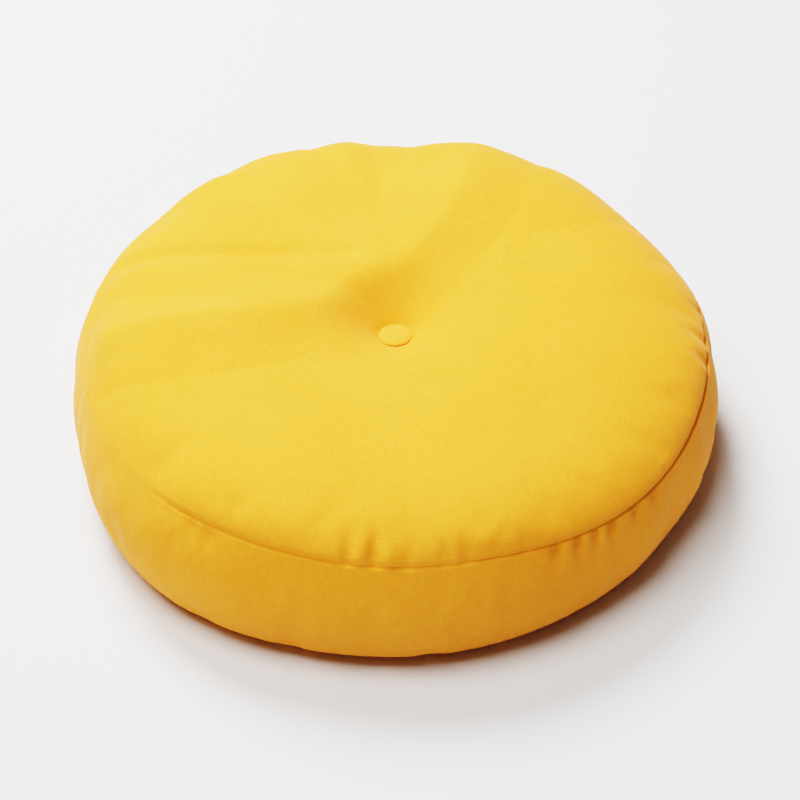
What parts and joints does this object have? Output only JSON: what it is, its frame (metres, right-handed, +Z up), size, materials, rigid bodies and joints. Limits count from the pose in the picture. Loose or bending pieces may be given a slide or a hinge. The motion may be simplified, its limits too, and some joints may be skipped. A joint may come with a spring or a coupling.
{
  "type": "round floor cushion",
  "caption": "Round boxed floor cushion with a crowned top panel, bulging border and a covered button drawn into a tuft at its centre.",
  "frame": {"origin": "centre of the cushion's outline, on the surface that it rests on", "axes": "+Z up, -Y towards the front of the cushion, +X to its right seen from the front"},
  "size_m": [0.4996, 0.5028, 0.1483],
  "materials": {
    "cover": "matte plain-woven cotton, golden yellow",
    "button_cover": "the same cotton drawn tight over a button form"
  },
  "bodies": {
    "root": {"cushion": "cover", "button": "button_cover"}
  },
  "joints": []
}
